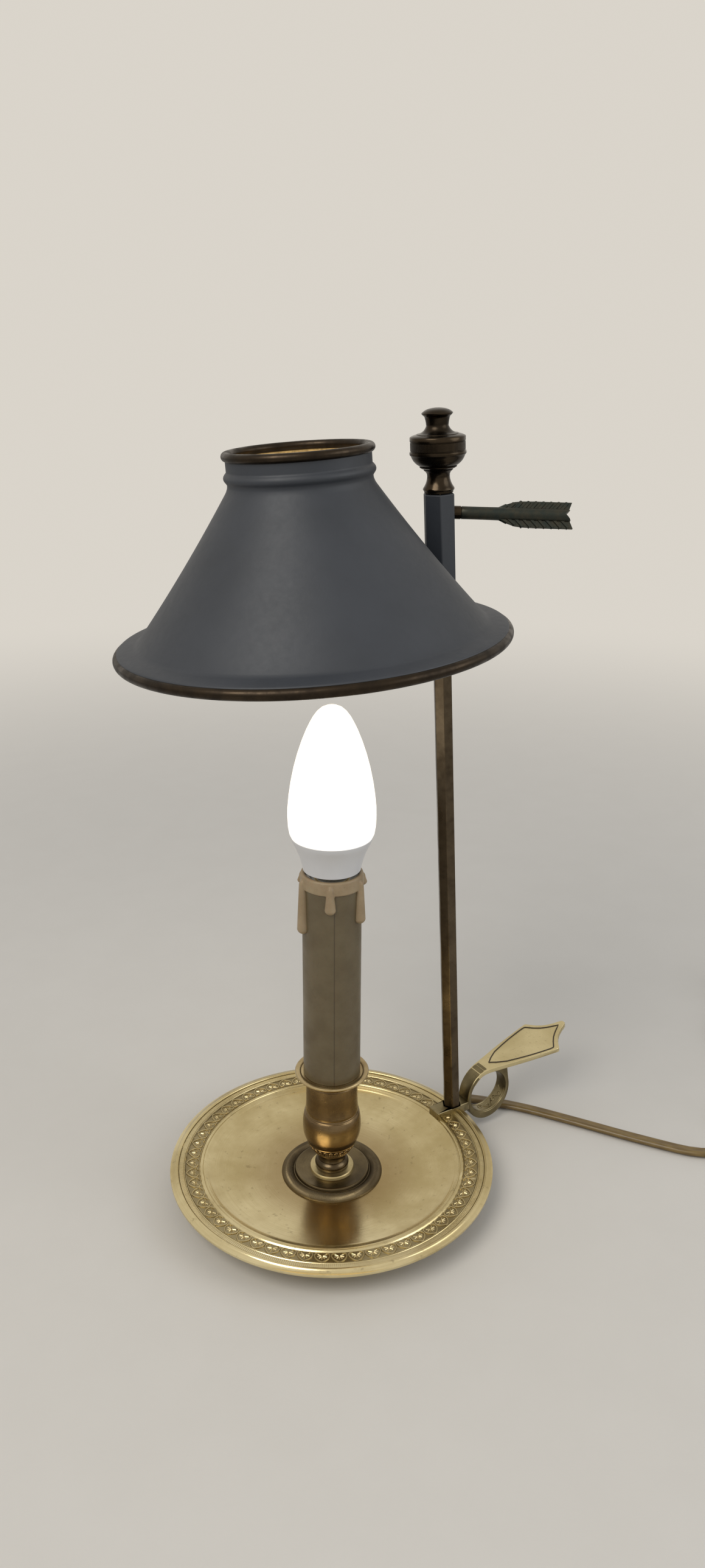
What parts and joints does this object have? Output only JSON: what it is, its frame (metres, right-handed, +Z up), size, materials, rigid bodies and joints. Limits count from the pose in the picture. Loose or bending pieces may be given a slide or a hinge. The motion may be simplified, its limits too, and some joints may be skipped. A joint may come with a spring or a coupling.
{
  "type": "bouillotte lamp",
  "caption": "Brass table lamp: candle light on a round saucer with a finger-ring handle, and a metal shade that slides on a leaning rod and is clamped by an arrow-shaped key.",
  "frame": {"origin": "centre of the saucer on the table face under its felt", "axes": "+Z up, +X from the saucer centre towards the rod and the finger ring"},
  "size_m": [0.4146, 0.1726, 0.3388],
  "materials": {
    "brass_antique": "aged, waxed, with worn highlights",
    "bronze_dark": "dark bronzed",
    "felt": "pressed felt",
    "iron": "bare",
    "steel": "zinc plated",
    "candle_plastic": "candle-coloured, satin",
    "drip_plastic": "wax-coloured, satin",
    "holder_plastic": "moulded",
    "contact_brass": "bare",
    "cap_nickel": "nickel plated",
    "cap_black": "glazed",
    "bulb_white": "moulded, plain",
    "led_white": "printed board",
    "bulb_opal": "opal, lit from inside",
    "shade_paint": "satin grey-blue paint",
    "key_patina": "dark green patina",
    "cord_gold": "flat twin cord, golden brown",
    "wire_brown": "insulated",
    "wire_blue": "insulated",
    "switch_plastic": "moulded brown"
  },
  "bodies": {
    "lamp": {"saucer": "brass_antique", "boss": "brass_antique", "stem": "bronze_dark", "candle_cup": "brass_antique", "handle": "brass_antique", "rod": "brass_antique", "felt_pad": "felt", "base_weight": "iron", "bottom_nut": "steel", "cup_washer": "steel", "cup_nut": "steel", "threaded_tube": "steel", "rod_screw": "steel", "locating_pin": "steel", "candle_tube": "candle_plastic", "drip_collar": "drip_plastic", "holder_sleeve": "holder_plastic", "holder_body": "holder_plastic", "screw_shell": "contact_brass", "centre_contact": "contact_brass", "shell_contact": "contact_brass", "cord_exit_bush": "switch_plastic", "cord_lead": "cord_gold", "cord_link": "cord_gold", "cord_coil": "cord_gold", "live_wire": "wire_brown", "neutral_wire": "wire_blue", "switch_base": "switch_plastic", "switch_cover": "switch_plastic", "switch_screws": "steel", "switch_contacts": "contact_brass", "plug_body": "switch_plastic", "plug_pins": "cap_nickel"},
    "shade_carriage": {"shade_cone": "shade_paint", "shade_collar": "shade_paint", "shade_low_edge": "bronze_dark", "shade_top_edge": "bronze_dark", "rod_sleeve": "shade_paint", "key_boss": "bronze_dark"},
    "clamp_key": {"arrow_key": "key_patina"},
    "finial": {"finial": "bronze_dark"},
    "bulb": {"bulb_cap": "cap_nickel", "cap_insulator": "cap_black", "bulb_base": "bulb_white", "led_board": "led_white", "bulb_dome": "bulb_opal"},
    "rocker": {"switch_rocker": "switch_plastic"}
  },
  "joints": [
    {"name": "shade_slide", "type": "slide", "parent": "lamp", "child": "shade_carriage", "axis": [-0.0654, 0, 0.9979], "range_m": [-0.2, 0]},
    {"name": "key_turn", "type": "hinge", "parent": "shade_carriage", "child": "clamp_key", "pos_m": [0.04972, 0, 0.2995], "axis": [0.8666, -0.4981, -0.0305], "range_deg": [0, 720]},
    {"name": "finial_turn", "type": "hinge", "parent": "lamp", "child": "finial", "pos_m": [0.0682, 0, 0.0175], "axis": [-0.0654, 0, 0.9979], "range_deg": [0, 720]},
    {"name": "bulb_turn", "type": "hinge", "parent": "lamp", "child": "bulb", "pos_m": [0, 0, 0.15], "axis": [0, 0, 1], "range_deg": [0, 1080]},
    {"name": "switch_rock", "type": "hinge", "parent": "lamp", "child": "rocker", "pos_m": [0.222, -0.0853, 0.0109], "axis": [0, 1, 0], "range_deg": [-18, 0]}
  ]
}
